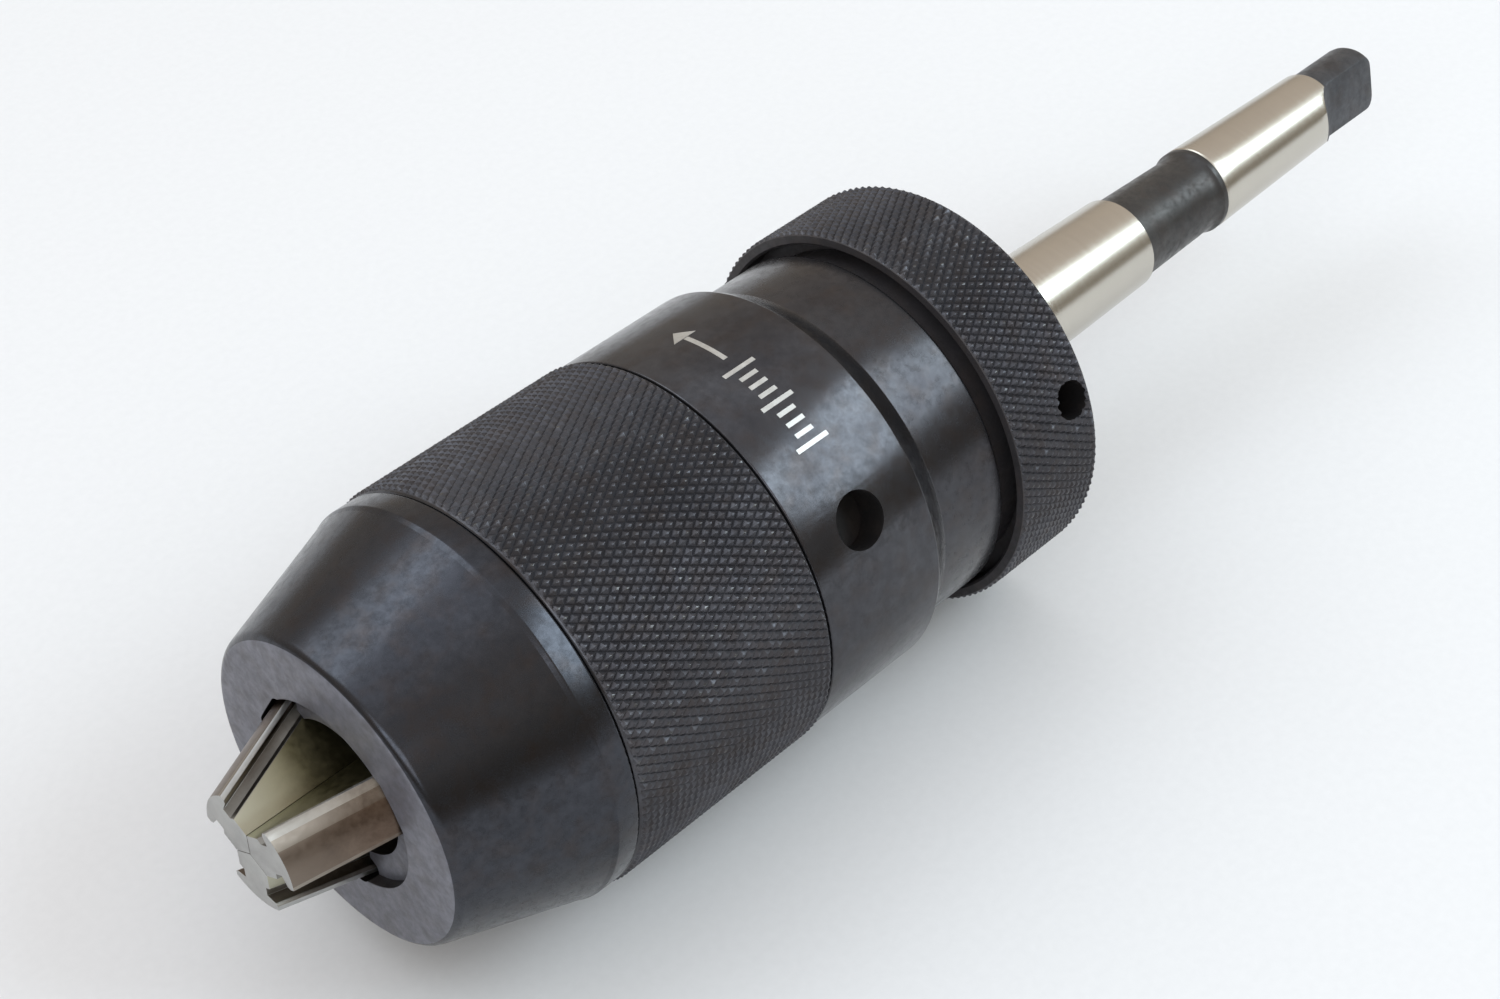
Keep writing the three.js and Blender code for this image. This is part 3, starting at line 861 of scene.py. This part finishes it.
# ---------------------------------------------------------------- CAD nodes that stay
# the thrust washer, seen in the gap, gets the painted shade
KEPT = {"chuck_body": blued, "front_race": bearing_steel, "rear_race": bearing_steel,
        "bearing_bush": bronze, "thrust_washer": shade, "ball_cage": bronze}
for name in nodes:
    if name.startswith("ball_") and name != "ball_cage":
        KEPT[name] = bearing_steel
for name, material in KEPT.items():
    for s in nodes[name].material_slots:
        s.material = material

# ---------------------------------------------------------------- floor, light, camera
FLOOR_Z = -22.52
bm = bmesh.new()
bmesh.ops.create_grid(bm, x_segments=8, y_segments=8, size=2.5)
floor_mesh = bpy.data.meshes.new("floor")
bm.to_mesh(floor_mesh)
bm.free()
floor = link("floor", floor_mesh)
floor.location = (0, 0, FLOOR_Z * MM)
g = Graph("floor_paper")
paper = g.noise(size=900, detail=3)
paper_colour = g.ramp(paper, [(0.3, (0.74, 0.74, 0.747)), (0.7, (0.76, 0.76, 0.767))])
floor.data.materials.append(
    g.set(Base_Color=paper_colour, Roughness=0.9, Normal=g.bump(paper, 0.1, 0.05)))


def area_light(name, direction, distance, size, power, colour):
    """Rectangular light that faces a point on the chuck's axis; metres and watts."""
    lamp = bpy.data.lights.new(name, "AREA")
    lamp.shape = "RECTANGLE"
    lamp.size, lamp.size_y = size
    lamp.energy = power
    lamp.color = colour
    obj = bpy.data.objects.new(name, lamp)
    scene.collection.objects.link(obj)
    aim = Vector((-0.04, 0, 0))
    away = Vector(direction).normalized()
    obj.location = aim + away * distance
    obj.rotation_mode = "QUATERNION"
    obj.rotation_quaternion = (-away).to_track_quat("-Z", "Y")


area_light("key", (-0.40, 0.60, 0.85), 1.6, (1.05, 1.0), 6.4, (0.83, 0.93, 1.0))
area_light("window", (0.57, -0.50, 0.635), 1.2, (0.76, 0.64), 7.6, (0.76, 0.91, 1.0))
area_light("fill", (-0.72, -0.42, 0.55), 1.3, (0.90, 0.50), 4.0, (0.80, 0.90, 1.0))

# a warm room, darker near the horizon and on the -Y side, under a paler ceiling:
# the height of a direction, tilted towards +Y, against the colour seen there
SKY = [(0.02, (0.17, 0.143, 0.110)), (0.26, (0.36, 0.318, 0.270)), (0.48, (0.46, 0.408, 0.355)),
       (0.77, (0.48, 0.428, 0.385)), (0.92, (0.78, 0.785, 0.80)), (1.0, (0.92, 0.945, 1.0))]
SKY_TILT, SKY_STRENGTH = (0, 0.22, 1), 1.38
world = bpy.data.worlds.new("studio")
scene.world = world
world.use_nodes = True
sky = world.node_tree
where = sky.nodes.new("ShaderNodeTexCoord")
height = sky.nodes.new("ShaderNodeVectorMath")
height.operation = "DOT_PRODUCT"
height.inputs[1].default_value = SKY_TILT
tone = sky.nodes.new("ShaderNodeValToRGB")
fill_ramp(tone, SKY)
sky.links.new(where.outputs["Generated"], height.inputs[0])
sky.links.new(height.outputs["Value"], tone.inputs["Fac"])
sky.links.new(tone.outputs["Color"], sky.nodes["Background"].inputs["Color"])
sky.nodes["Background"].inputs["Strength"].default_value = SKY_STRENGTH

camera_data = bpy.data.cameras.new("camera")
camera_data.sensor_width = 36.0
camera_data.lens = 62.07
camera_data.clip_start, camera_data.clip_end = 0.01, 20
camera = bpy.data.objects.new("camera", camera_data)
scene.collection.objects.link(camera)
camera.location = Vector((-191.9, -137.5, 182.4)) * MM
camera.rotation_mode = "QUATERNION"
camera.rotation_quaternion = Vector((0.5317, 0.5104, -0.6759)).to_track_quat("-Z", "Y")
scene.camera = camera

scene.view_settings.view_transform = "Standard"
scene.view_settings.look = "None"
